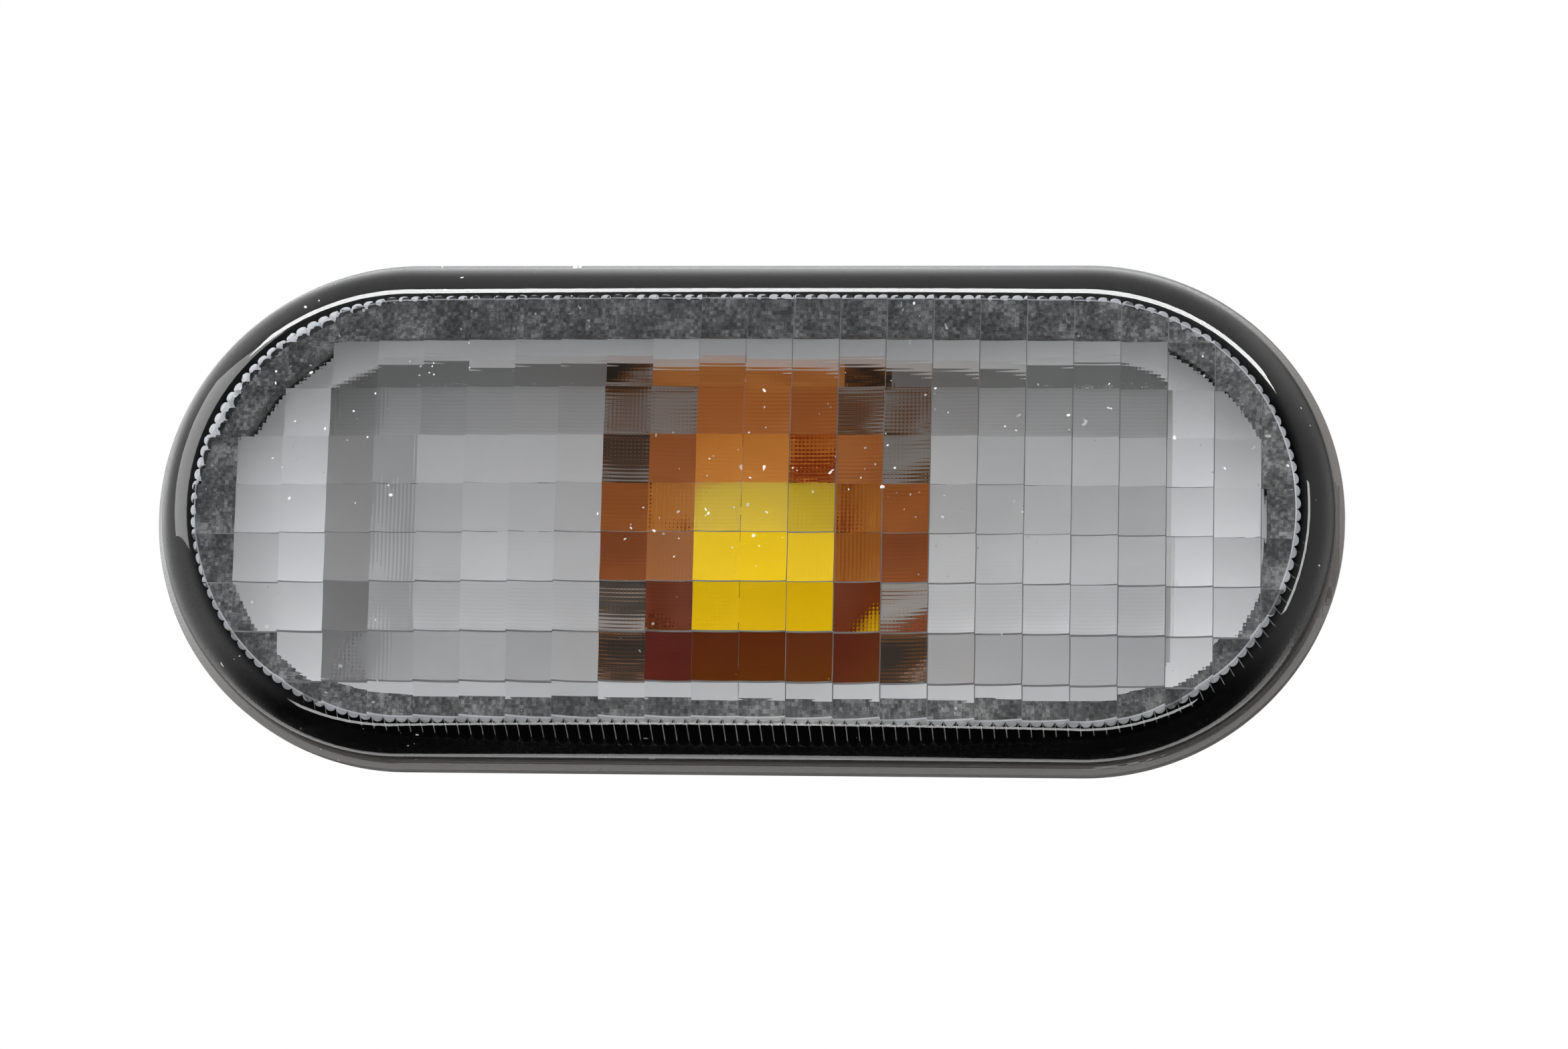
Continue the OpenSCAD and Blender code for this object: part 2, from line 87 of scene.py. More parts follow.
lensShape = {
    "length": 104 * mm,
    "height": 45 * mm,
    "rise": 10.4 * mm,         # how far its middle stands in front of the panel
    "crownAlong": 550 * mm,    # radii of the crown
    "crownAcross": 96 * mm,
    "wall": 2.4 * mm,
    "rear": -0.3 * mm,
    "lipFront": -2.2 * mm,
    "lipStep": 0.7 * mm,
    "lipTilt": 0.1 * mm,
    "sideFront": -4.2 * mm,
    "shoulderIn": 0.8 * mm,
    "shoulderWidth": 3.2 * mm,
    "shoulderSteps": 10,
    "ringStep": 1.5 * mm,
    "rimPoints": (90, 110),    # along each straight side, round each end
    "fluteInset": 4.3 * mm,
    "flutePitch": 1.06 * mm,
    "fluteDepth": 0.34 * mm,
    "flutePoints": 8,
    "flangeInset": 0.75 * mm,  # the rebate that takes the tub's flange
    "flangeFront": -2.0 * mm,
    "cellWidth": 4.04 * mm,
    "cellHeight": 4.26 * mm,
    "lineX": 0.36 * mm,        # first upright line to the right of the middle
    "lineZ": 1.69 * mm,        # first level line above the middle
    "cellCuts": 6,
    "cellEdge": 0.02 * mm,     # half the width of the steep wall between two cells
    "prismGain": 0.07,         # slope gained with each cell away from the middle, up to the most
    "prismMost": 0.2,
    "pillowRadius": 8 * mm,
    "unevenness": 0.045,       # how much the facets' slopes vary from the mould
    "seedScale": 7e5,          # each facet's own variation comes from its place
    "seedStride": 31,
    "cutRear": 1 * mm,         # the hollow and the rebate are cut from behind the lens
    "fieldRear": 2 * mm,
    "crispEdge": 12,           # degrees past which an edge stays sharp
}


# shader maths as expressions

class Wire:
    def __init__(self, finish, socket):
        self.finish = finish
        self.socket = socket

    def __add__(self, other):
        return self.finish.maths("ADD", self, other)

    def __sub__(self, other):
        return self.finish.maths("SUBTRACT", self, other)

    def __mul__(self, other):
        return self.finish.maths("MULTIPLY", self, other)

    def __truediv__(self, other):
        return self.finish.maths("DIVIDE", self, other)

    def __pow__(self, other):
        return self.finish.maths("POWER", self, other)

    def __radd__(self, other):
        return self.finish.maths("ADD", other, self)

    def __rsub__(self, other):
        return self.finish.maths("SUBTRACT", other, self)

    def __abs__(self):
        return self.finish.maths("ABSOLUTE", self)

    def __gt__(self, other):
        return self.finish.maths("GREATER_THAN", self, other)

    def __lt__(self, other):
        return self.finish.maths("LESS_THAN", self, other)


class Finish:
    def __init__(self, owner):
        owner.use_nodes = True
        self.owner = owner
        self.tree = owner.node_tree
        self.tree.nodes.clear()

    def node(self, kind, settings=None, sockets=None, out=0):
        made = self.tree.nodes.new("ShaderNode" + kind)
        for key, value in (settings or {}).items():
            if key == "stops":
                self.fillRamp(made.color_ramp, value)
            else:
                setattr(made, key, value)
        for key, value in (sockets or {}).items():
            if isinstance(value, Wire):
                self.tree.links.new(value.socket, made.inputs[key])
            else:
                made.inputs[key].default_value = value
        return Wire(self, made.outputs[out])

    def fillRamp(self, ramp, stops):
        while len(ramp.elements) < len(stops):
            ramp.elements.new(1.0)
        for element, (place, colour) in zip(ramp.elements, stops):
            element.position = place
            element.color = (*colour, 1.0)

    def maths(self, operation, *values):
        return self.node("Math", {"operation": operation}, dict(enumerate(values)))

    def place(self):
        return self.node("TexCoord", out="Object")

    def axes(self, where=None):
        split = self.node("SeparateXYZ", None, {0: where or self.place()})
        return [Wire(self, s) for s in split.socket.node.outputs]

    def stretched(self, scale):
        return self.node("Mapping", None, {"Vector": self.place(), "Scale": scale})

    def noise(self, scale, detail, rough=0.5, where=None):
        return self.node("TexNoise", None, {"Vector": where or self.place(), "Scale": scale,
                                            "Detail": detail, "Roughness": rough})

    def ramp(self, factor, stops):
        return self.node("ValToRGB", {"stops": stops}, {0: factor})

    def ranged(self, value, start, end, most=1.0, kind="LINEAR"):
        return self.node("MapRange", {"interpolation_type": kind},
                         {"Value": value, "From Min": start, "From Max": end, "To Max": most})

    def mixed(self, factor, first, second):
        return self.node("Mix", {"data_type": "RGBA"}, {0: factor, 6: first, 7: second}, out=2)

    def blended(self, share, first, second):
        return self.node("MixShader", None, {0: share, 1: first, 2: second})

    def bumped(self, height, strength, distance):
        return self.node("Bump", None, {"Strength": strength, "Distance": distance, "Height": height})

    def principled(self, **sockets):
        names = {key.replace("_", " "): value for key, value in sockets.items()}
        return self.node("BsdfPrincipled", None, names)

    def close(self, shader, kind="Material"):
        output = self.tree.nodes.new("ShaderNodeOutput" + kind)
        self.tree.links.new(shader.socket, output.inputs["Surface"])
        return self.owner


def newFinish(name):
    return Finish(bpy.data.materials.new(name))


def rimDistance(f, x, z):
    # how far a point lies out from the lamp's middle line
    half = (lensShape["length"] - lensShape["height"]) / 2
    past = f.maths("MAXIMUM", abs(x) - half, 0.0)
    return (past * past + z * z) ** 0.5


lensFinish = {
    "tint": (0.975, 0.98, 0.985, 1),
    "paintedShadeTint": (0.68, 0.685, 0.69, 1),
    "polish": 0.012,
    "ior": 1.49,
    "shade": 0.42,                # share of the painted shade tint at a prism's top, and by chance
    "spread": 0.35,
    "ripplePitch": 0.34 * mm,     # tool marks on the prism facets
    "rippleDepth": 0.0012 * mm,
    "skinDepth": 1.3 * mm,        # deeper than this under the crown a surface is an inner one
    "haze": (0.9, 0.92, 0.95, 1),
    "hazeRough": 0.6,
    "hazeThrough": 0.6,           # share of the haze that lets light through
    "edgeNormal": 0.5,            # a prism's edge faces along the panel more than this
    "edgeHaze": 0.3,
    "wallInsets": (3.9 * mm, 4.34 * mm),    # the fluted wall, hazy white along the top and the left end as a painted highlight
    "wallRear": -2.05 * mm,
    # where the light falls, for the painted highlight and painted shade: grows towards the top and the left
    # end
    "sideLean": 0.3,
    "sideRange": (-8 * mm, 16 * mm),
    "sideHaze": 0.9,
    "cuspInset": 4.22 * mm,
    "cuspHaze": 0.3,
    "archDepth": 2.95 * mm,       # below and on the right the flutes end in hazy arches
    "archHaze": 0.55,
    "lipWidth": 0.75 * mm,        # the lip is rubbed matt, with painted highlight haze along the top and the left end and painted shade below and on the right
    "lipHaze": 0.18,
    "lipHazeLeast": 0.03,
    "lipShadeShare": 0.6,
    "lipShadeTone": (0.1, 0.09, 0.08, 1),
    "lipShadeRough": 0.5,
    "dust": (0.75, 0.74, 0.72, 1),
    "dustRough": 0.9,
    "dustShare": 0.6,
    "specks": (1500.0, 1.0),
    "speckLimit": 0.765,
    "patches": (60.0, 2.0),
    "patchLimit": 0.52,
}


def bending(f, look, tint, normal):
    return f.node("BsdfRefraction", None, {"Color": look[tint], "Roughness": look["polish"],
                                           "IOR": look["ior"], "Normal": normal})


def prismPaintedShade(f, look, x, z):
    # painted shade: each prism is a little darker towards its top, and darker again by a random share
    across = (x - lensShape["lineX"]) / lensShape["cellWidth"]
    above = (z - lensShape["lineZ"]) / lensShape["cellHeight"]
    row = f.maths("FLOOR", above)
    cell = f.node("CombineXYZ", None, {0: f.maths("FLOOR", across), 1: row})
    chance = f.node("TexWhiteNoise", {"noise_dimensions": "2D"}, {"Vector": cell})
    return (above - row) * look["shade"] + chance * look["spread"]


def clearPlastic(look):
    f = newFinish("clearPlastic")
    x, y, z = f.axes()
    alongCrown = x * x / (2 * lensShape["crownAlong"])
    depth = y - (alongCrown + z * z / (2 * lensShape["crownAcross"]) - lensShape["rise"])
    inset = lensShape["height"] / 2 - rimDistance(f, x, z)
    wallOuter, wallInner = look["wallInsets"]
    inner = depth > look["skinDepth"]
    onFacet = inner * (inset > wallInner)
    byWall = inner * (inset > wallOuter) * (inset < wallInner)
    onWall = byWall * (y < look["wallRear"])
    onLip = inset < look["lipWidth"]
    # painted light: side marks the top and the left end, where the light falls
    side = f.ranged(z - x * look["sideLean"], *look["sideRange"], look["sideHaze"], "SMOOTHSTEP")
    normal = f.axes(f.node("NewGeometry", out="True Normal"))[1]
    fromAir = 1.0 - f.node("NewGeometry", out="Backfacing")

    wave = 2 * math.pi / look["ripplePitch"]
    waves = f.maths("SINE", x * wave) + f.maths("SINE", z * wave)
    ripple = f.bumped(waves * inner, 1.0, look["rippleDepth"])
    glass = f.principled(Base_Color=look["tint"], Roughness=look["polish"], IOR=look["ior"],
                         Transmission_Weight=1.0, Normal=ripple)
    # the inner faces only bend the light, so no lamp is mirrored in every prism
    # painted shade: a darker copy of the bending glass is mixed into each prism
    paintedShadeShare = onFacet * prismPaintedShade(f, look, x, z)
    bent = f.blended(paintedShadeShare, bending(f, look, "tint", ripple), bending(f, look, "paintedShadeTint", ripple))
    clear = f.blended(onFacet + onWall, glass, bent)
    # the prisms' edges and the flutes scatter it
    scattered = f.principled(Base_Color=look["haze"], Roughness=look["hazeRough"])
    through = f.node("BsdfTranslucent", None, {"Color": look["haze"]})
    hazy = f.blended(look["hazeThrough"], scattered, through)
    edge = onFacet * (abs(normal) < look["edgeNormal"]) * look["edgeHaze"]
    cusp = onWall * (inset > look["cuspInset"]) * look["cuspHaze"]
    arch = byWall * (depth < look["archDepth"]) * look["archHaze"]
    # painted highlight: haze on the fluted wall along the top and the left end
    wall = f.blended(edge + onWall * side * fromAir + cusp + arch * (1.0 - side), clear, hazy)

    # painted shade on the lip below and on the right, painted highlight haze along its top and left end
    shadedLip = f.principled(Base_Color=look["lipShadeTone"], Roughness=look["lipShadeRough"])
    wall = f.blended(onLip * (side * look["lipHaze"] + look["lipHazeLeast"]), wall, hazy)
    wall = f.blended(onLip * (1.0 - side) * look["lipShadeShare"], wall, shadedLip)
    specks = f.noise(*look["specks"]) > look["speckLimit"]
    patches = f.noise(*look["patches"]) > look["patchLimit"]
    dust = f.principled(Base_Color=look["dust"], Roughness=look["dustRough"])
    return f.close(f.blended(specks * patches * look["dustShare"], wall, dust))


blackFinish = {
    "grainedInset": 4.3 * mm,     # inside this the flange's front is grained, outside it is the weld
    "frontDepth": -0.6 * mm,
    "mouthInset": 6.6 * mm,       # painted light: the grained grey tone runs into the tub's mouth, up to the reflector, lightening its shadowed gap
    "mouthDepth": 2.2 * mm,
    "clouds": (90.0, 3.0),
    "gloss": [(0.3, (0.003, 0.003, 0.0033)), (0.8, (0.007, 0.007, 0.0075))],
    "grit": (3800.0, 2.0, 0.7),
    "gritShare": 0.55,
    "blotches": (520.0, 3.0, 0.6),
    "dusty": [(0.4, (0.05, 0.05, 0.051)), (0.52, (0.15, 0.15, 0.15)), (0.64, (0.38, 0.38, 0.375))],
    "grain": (1400.0, 4.0, 0.6),
    "rough": 0.14,
    "dustyRough": 0.5,
    "grainRough": 0.12,
    "bump": (0.15, 0.03 * mm),
}


def blackPlastic(look):
    f = newFinish("blackPlastic")
    x, y, z = f.axes()
    out = rimDistance(f, x, z)
    rim = lensShape["height"] / 2
    front = (out < rim - look["grainedInset"]) * (y < look["frontDepth"])
    # the flange's front is grained; the tub's mouth gets the same grey tone as painted light
    mouth = (out < rim - look["mouthInset"]) * (y < look["mouthDepth"])
    grainedAndLit = f.maths("MAXIMUM", front, mouth)
    grain = f.noise(*look["grain"])
    grit = f.noise(*look["grit"]) * look["gritShare"]
    specks = grit + f.noise(*look["blotches"]) * (1 - look["gritShare"])
    gloss = f.ramp(f.noise(*look["clouds"]), look["gloss"])
    tone = f.mixed(grainedAndLit, gloss, f.ramp(specks, look["dusty"]))
    rough = grainedAndLit * look["dustyRough"] + look["rough"] + grain * look["grainRough"]
    return f.close(f.principled(Base_Color=tone, Roughness=rough, Normal=f.bumped(grain, *look["bump"])))


reflectorFinish = {
    "clouds": (70.0, 2.0),
    "grey": [(0.3, (0.87, 0.87, 0.875)), (0.75, (0.93, 0.93, 0.935))],
    "dishFront": 1.6 * mm,        # behind this is the dish, in front of it the border
    "highRange": (8 * mm, 12 * mm),         # painted shade darkens the dish near its top and below
    "shade": (0.3, 0.3, 0.3, 1),
    "lowRange": (-1 * mm, -5.5 * mm),
    "lowShade": (0.56, 0.56, 0.565, 1),
    "endRange": (-37.0 * mm, -31.0 * mm),   # and its left end wall, in painted shade
    "endShade": 0.35,
    "grit": (6000.0, 2.0),        # grit along the dish's long edges
    "gritLimit": 0.64,
    "gritRange": (11.6 * mm, 12.6 * mm),
    "gritTone": (0.95, 0.95, 0.93, 1),
    "paintedReflectionHalf": 12.4 * mm,      # half the width of the painted reflection of the amber cap on the dish
    "warmHalf": 8.2 * mm,
    "fringeRange": (-3.5 * mm, 5.4 * mm),   # between these heights that zone keeps its full width
    "pinch": 3.0 * mm,            # and between these it is narrowest
    "pinchRange": (8.5 * mm, 12.0 * mm),
    "heightRange": (-12 * mm, 13 * mm),     # the painted reflection goes from deep below to hazy above
    "amber": [(0.15, (0.14, 0.004, 0.0)), (0.35, (0.42, 0.08, 0.001)), (0.6, (0.78, 0.25, 0.04)),
              (1.0, (0.95, 0.5, 0.15))],
    "streaks": (260.0, 3.0, 0.6),
    "streakStretch": (1.0, 1.0, 6.0),
    "streakTones": ((0.06, 0.002, 0.0, 1), (0.45, 0.1, 0.02, 1)),
    "fringe": [(0.42, (0.03, 0.025, 0.02)), (0.5, (0.2, 0.08, 0.02)), (0.6, (0.4, 0.38, 0.36))],
    "grain": (2200.0, 3.0, 0.6),
    "metallic": 0.25,
    "rough": 0.42,
    "grainRough": 0.1,
    "bump": (0.12, 0.03 * mm),
}


def between(value, span):
    return (value > span[0]) * (value < span[1])


def reflectorGrey(look):
    f = newFinish("reflectorGrey")
    x, y, z = f.axes()
    inDish = y > look["dishFront"]
    grey = f.ramp(f.noise(*look["clouds"]), look["grey"])
    # painted shade near the dish's top, below, and on its left end wall
    grey = f.mixed(f.ranged(z, *look["highRange"]) * inDish, grey, look["shade"])
    grey = f.mixed(f.ranged(z, *look["lowRange"]) * inDish, grey, look["lowShade"])
    grey = f.mixed(between(x, look["endRange"]) * inDish * look["endShade"], grey, look["shade"])
    grit = (f.noise(*look["grit"]) > look["gritLimit"]) * between(abs(z), look["gritRange"])
    grey = f.mixed(grit, grey, look["gritTone"])

    # painted reflection of the amber cap, streaked, with a fringe
    streaks = f.noise(*look["streaks"], f.stretched(look["streakStretch"]))
    height = f.ranged(z, *look["heightRange"])
    warm = f.mixed(streaks, f.ramp(height, look["amber"]), f.mixed(height, *look["streakTones"]))
    pinched = between(z, look["pinchRange"]) * look["pinch"]
    narrow = f.mixed(abs(x) + pinched < look["warmHalf"], f.ramp(streaks, look["fringe"]), warm)
    paintedReflection = f.mixed(between(z, look["fringeRange"]), narrow, warm)
    tone = f.mixed((abs(x) < look["paintedReflectionHalf"]) * inDish, grey, paintedReflection)
    grain = f.noise(*look["grain"])
    return f.close(f.principled(Base_Color=tone, Metallic=look["metallic"],
                                Roughness=look["rough"] + grain * look["grainRough"],
                                Normal=f.bumped(grain, *look["bump"])))


amberFinish = {
    "brightX": 1.0 * mm,          # middle of the painted glow and painted bright tone, as if lit through from behind
    "brightZ": -2.4 * mm,
    "reach": 5.2 * mm,
    "fade": 1.2,                  # where that zone ends, in reaches
    "squareness": 4,
    "heightRange": (-10 * mm, 8 * mm),      # outside that zone the painted tone goes from deep below to hazy above
    "upperRange": (-1.5 * mm, 3.5 * mm),
    "outer": ((0.25, 0.008, 0.0, 1), (0.9, 0.42, 0.08, 1)),
    "bright": ((0.9, 0.64, 0.004, 1), (0.5, 0.36, 0.03, 1)),
    "outerGlow": ((0.02, 0.003, 0.0, 1), (0.25, 0.08, 0.01, 1)),
    "brightGlow": ((0.8, 0.58, 0.0, 1), (0.35, 0.24, 0.0, 1)),
    "glow": 0.38,
    "clouds": (500.0, 3.0),
    "rough": 0.36,
    "cloudRough": 0.1,
    "ior": 1.5,
    "clearness": 0.25,
}


def amberPlastic(look):
    f = newFinish("amberPlastic")
    x, y, z = f.axes()
    # painted light: the cap glows though it is no lamp, bright yellow round one spot and dimmer higher up,
    # deep below and hazy above
    power = look["squareness"]
    offX = (x - look["brightX"]) / look["reach"]
    offZ = (z - look["brightZ"]) / look["reach"]
    away = (offX ** power + offZ ** power) ** (1 / power)
    bright = 1.0 - f.ranged(away, 1.0, look["fade"], kind="SMOOTHSTEP")
    height = f.ranged(z, *look["heightRange"])
    upper = f.ranged(z, *look["upperRange"])
    tone = f.mixed(bright, f.mixed(height, *look["outer"]), f.mixed(upper, *look["bright"]))
    glow = f.mixed(bright, f.mixed(height, *look["outerGlow"]), f.mixed(upper, *look["brightGlow"]))
    rough = look["rough"] + f.noise(*look["clouds"]) * look["cloudRough"]
    return f.close(f.principled(Base_Color=tone, Roughness=rough, IOR=look["ior"],
                                Transmission_Weight=look["clearness"],
                                Emission_Color=glow, Emission_Strength=look["glow"]))


bulbFinish = {
    "tint": (0.98, 0.985, 0.99, 1),
    "streaks": (150.0, 2.0),
    "rough": 0.01,
    "streakRough": 0.02,
    "ior": 1.5,
}


def bulbGlass(look):
    f = newFinish("bulbGlass")
    rough = look["rough"] + f.noise(*look["streaks"]) * look["streakRough"]
    return f.close(f.principled(Base_Color=look["tint"], Roughness=rough, IOR=look["ior"],
                                Transmission_Weight=1.0))


# the other finishes share one pattern: a grain that colours, roughens and lifts the surface

plainFinishes = {
    "foam_rubber": ("foamRubber", {
        "cells": 1800.0,
        "clouds": (300.0, 3.0),
        "tones": [(0.3, (0.012, 0.012, 0.012)), (0.8, (0.035, 0.035, 0.035))],
        "rough": 0.9,
        "bump": (0.6, 0.2 * mm),
    }),
    "spring_steel": ("springSteel", {
        "grain": (160.0, 4.0, 0.6),
        "stretch": (1.0, 1.0, 40.0),
        "tones": [(0.3, (0.42, 0.42, 0.43)), (0.75, (0.62, 0.62, 0.63))],
        "metallic": 1.0,
        "rough": 0.26,
        "grainRough": 0.18,
    }),
    "white_membrane": ("whiteMembrane", {
        "grain": (3000.0, 2.0),
        "tones": [(0.3, (0.62, 0.62, 0.6)), (0.8, (0.8, 0.8, 0.78))],
        "rough": 0.85,
        "bump": (0.3, 0.05 * mm),
    }),
    "holder_plastic": ("holderPlastic", {
        "grain": (1100.0, 4.0, 0.65),
        "clouds": (120.0, 3.0),
        "tones": [(0.3, (0.05, 0.05, 0.054)), (0.8, (0.085, 0.085, 0.09))],
        "rough": 0.45,
        "grainRough": 0.2,
        "bump": (0.3, 0.08 * mm),
    }),
    "seal_rubber": ("sealRubber", {
        "grain": (400.0, 3.0),
        "tones": [(0.3, (0.3, 0.055, 0.03)), (0.8, (0.4, 0.08, 0.045))],
        "rough": 0.5,
        "grainRough": 0.15,
    }),
    "wire": ("wireMetal", {
        "grain": (900.0, 3.0),
        "tones": [(0.3, (0.34, 0.33, 0.32)), (0.8, (0.5, 0.49, 0.47))],
        "metallic": 1.0,
        "rough": 0.3,
        "grainRough": 0.15,
    }),
    "contact_brass": ("contactBrass", {
        "grain": (700.0, 4.0),
        "tones": [(0.3, (0.62, 0.45, 0.16)), (0.8, (0.78, 0.6, 0.26))],
        "metallic": 1.0,
        "rough": 0.22,
        "grainRough": 0.2,
    }),
}


def plainFinish(name, look):
    f = newFinish(name)
    if "cells" in look:
        grain = f.node("TexVoronoi", None, {"Vector": f.place(), "Scale": look["cells"]})
    elif "stretch" in look:
        grain = f.noise(*look["grain"], f.stretched(look["stretch"]))
    else:
        grain = f.noise(*look["grain"])
    clouds = f.noise(*look["clouds"]) if "clouds" in look else grain
    sockets = {"Base_Color": f.ramp(clouds, look["tones"]), "Roughness": look["rough"]}
    if "metallic" in look:
        sockets["Metallic"] = look["metallic"]
    if "grainRough" in look:
        sockets["Roughness"] = look["rough"] + grain * look["grainRough"]
    if "bump" in look:
        sockets["Normal"] = f.bumped(grain, *look["bump"])
    return f.close(f.principled(**sockets))


finishes = {
    "clear_lens": clearPlastic(lensFinish),
    "black_plastic": blackPlastic(blackFinish),
    "grey_reflector": reflectorGrey(reflectorFinish),
    "amber_plastic": amberPlastic(amberFinish),
    "bulb_glass": bulbGlass(bulbFinish),
}
for slotName, (name, look) in plainFinishes.items():
    finishes[slotName] = plainFinish(name, look)
print("finishes made")


def dressNodes():
    for part in frame["record"]["subparts"]:
        piece = frame["nodes"][part["node"]]
        piece.data.materials.clear()
        piece.data.materials.append(finishes[part["material_slot"]])


dressNodes()
print("CAD nodes dressed")


# modelling helpers: every piece is shaped in edit mode on an object at the origin

mergeGap = 0.002 * mm


def activate(piece):
    if bpy.context.object and bpy.context.object.mode != "OBJECT":
        bpy.ops.object.mode_set(mode="OBJECT")
    bpy.ops.object.select_all(action="DESELECT")
    bpy.context.view_layer.objects.active = piece
    piece.select_set(True)


def startPiece(name):
    piece = bpy.data.objects.new(name, bpy.data.meshes.new(name))
    bpy.context.scene.collection.objects.link(piece)
    activate(piece)
    bpy.ops.object.mode_set(mode="EDIT")
    return piece


def closePiece():
    bpy.ops.mesh.select_all(action="SELECT")
    bpy.ops.mesh.remove_doubles(threshold=mergeGap)
    bpy.ops.mesh.normals_make_consistent(inside=False)
    bpy.ops.object.mode_set(mode="OBJECT")


def moveSelected(placeOf):
    data = bpy.context.object.data
    mesh = bmesh.from_edit_mesh(data)
    for i, v in enumerate(v for v in mesh.verts if v.select):
        v.co = placeOf(i, v.co)
    bmesh.update_edit_mesh(data)


def cut(piece, tool, operation):
    activate(piece)
    carve = piece.modifiers.new("carve", "BOOLEAN")
    carve.operation = operation
    carve.solver = "MANIFOLD"
    carve.object = tool
    bpy.ops.object.modifier_apply(modifier=carve.name)
    bpy.data.objects.remove(tool)


def smoothBy(piece, degrees):
    activate(piece)
    bpy.ops.object.shade_smooth_by_angle(angle=math.radians(degrees))


def finishPiece(piece, body, slotName, *nodes):
    piece.data.materials.clear()
    piece.data.materials.append(finishes[slotName])
    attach(piece, body)
    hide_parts(*nodes)


# the lens

def rimPoint(i, alongCount, arcCount, inset, shape):
    # point i of a loop that starts at the lower left and runs along, round, back and round
    radius = shape["height"] / 2 - inset
    half = (shape["length"] - shape["height"]) / 2
    side, k = divmod(i, alongCount + arcCount)
    sign = 1 if side == 0 else -1
    if k < alongCount:
        return Vector((sign * (-half + 2 * half * k / alongCount), 0, -sign * radius))
    turn = math.pi * (k - alongCount) / arcCount - math.pi / 2
    return Vector((sign * (half + radius * math.cos(turn)), 0, sign * radius * math.sin(turn)))


def insetPoint(co, inset, shape):
    half = (shape["length"] - shape["height"]) / 2
    middle = Vector((max(-half, min(half, co.x)), 0, 0))
    outward = Vector((co.x, 0, co.z)) - middle
    return middle + outward.normalized() * (shape["height"] / 2 - inset)


def crownDepth(x, z, shape):
    return -shape["rise"] + x * x / (2 * shape["crownAlong"]) + z * z / (2 * shape["crownAcross"])


def drawRim(alongCount, arcCount, inset, depth, shape, wave=None):
    def placeOf(i, co):
        point = rimPoint(i, alongCount, arcCount, inset - (wave(i) if wave else 0.0), shape)
        point.y = depth
        return point

    bpy.ops.mesh.primitive_circle_add(vertices=2 * (alongCount + arcCount), radius=shape["height"] / 2,
                                      fill_type="NGON", rotation=(math.pi / 2, 0, 0))
    moveSelected(placeOf)


def raiseRing(inset, depthAt, shape):
    def placeOf(i, co):
        point = insetPoint(co, inset, shape)
        point.y = depthAt(point.x, point.z)
        return point

    bpy.ops.mesh.extrude_region_move()
    moveSelected(placeOf)


def lensSkin(shape):
    skin = startPiece("lensSkin")
    drawRim(*shape["rimPoints"], 0.0, shape["rear"], shape)
    raiseRing(0.0, lambda x, z: shape["lipFront"], shape)
    raiseRing(shape["lipStep"], lambda x, z: shape["lipFront"] - shape["lipTilt"], shape)
    steps = shape["shoulderSteps"]
    front = shape["sideFront"]
    for k in range(steps + 1):
        turn = math.pi / 2 * k / steps
        inset = shape["shoulderIn"] + shape["shoulderWidth"] * (1 - math.cos(turn))
        raiseRing(inset, lambda x, z: front + (crownDepth(x, z, shape) - front) * math.sin(turn), shape)
    shoulder = shape["shoulderIn"] + shape["shoulderWidth"]
    rest = shape["height"] / 2 - shoulder
    rings = round(rest / shape["ringStep"])
    for k in range(1, rings + 1):
        raiseRing(shoulder + rest * k / rings, lambda x, z: crownDepth(x, z, shape), shape)
    # the last ring lies on the middle line and closes by merging
    bpy.ops.mesh.delete(type="ONLY_FACE")
    closePiece()
    return skin


def rimColumn(name, alongCount, arcCount, inset, front, shape, wave=None):
    column = startPiece(name)
    drawRim(alongCount, arcCount, inset, shape["cutRear"], shape, wave)
    bpy.ops.mesh.extrude_region_move(TRANSFORM_OT_translate={"value": (0, front - shape["cutRear"], 0)})
    closePiece()
    return column


def flutedColumn(shape):
    radius = shape["height"] / 2 - shape["fluteInset"]
    alongFlutes = round((shape["length"] - shape["height"]) / shape["flutePitch"])
    arcFlutes = round(math.pi * radius / shape["flutePitch"])
    points = shape["flutePoints"]

    def wave(i):
        across = (i % points) / points * 2 - 1
        return shape["fluteDepth"] * math.sqrt(max(0.0, 1 - across * across))

    return rimColumn("flutedColumn", alongFlutes * points, arcFlutes * points, shape["fluteInset"],
                     -shape["rise"], shape, wave)


def facetSlopes(x, z, shape):
    alongX = min(shape["prismMost"], shape["prismGain"] * abs(x) / shape["cellWidth"])
    alongZ = min(shape["prismMost"], shape["prismGain"] * abs(z) / shape["cellHeight"])
    scale = shape["seedScale"]
    wobble = random.Random(round(x * scale) * shape["seedStride"] + round(z * scale))
    slopeX = x / shape["crownAlong"] - math.copysign(alongX, x) + wobble.uniform(-1, 1) * shape["unevenness"]
    slopeZ = z / shape["crownAcross"] - math.copysign(alongZ, z) + wobble.uniform(-1, 1) * shape["unevenness"]
    return slopeX, slopeZ


def cellPlaces(first, pitch, reach, cuts, edge):
    # for each grid line: its place, the middle of its cell, and where in the cell it lies from -1 to 1
    low = math.floor((-reach - first) / pitch)
    high = math.ceil((reach - first) / pitch)
    places = []
    for i in range(low, high):
        start, end = first + i * pitch + edge, first + (i + 1) * pitch - edge
        for k in range(cuts + 1):
            places.append((start + (end - start) * k / cuts, (start + end) / 2, k / cuts * 2 - 1))
    return places


def facetPoint(column, row, shape):
    x, middleX, acrossX = column
    z, middleZ, acrossZ = row
    slopeX, slopeZ = facetSlopes(middleX, middleZ, shape)
    lift = (abs(slopeX) * shape["cellWidth"] + abs(slopeZ) * shape["cellHeight"]) / 2
    y = crownDepth(middleX, middleZ, shape) + shape["wall"] + lift
    y += slopeX * (x - middleX) + slopeZ * (z - middleZ)
    offX, offZ = acrossX * shape["cellWidth"] / 2, acrossZ * shape["cellHeight"] / 2
    y -= (offX ** 2 + offZ ** 2) / (2 * shape["pillowRadius"])
    return Vector((x, y, z))


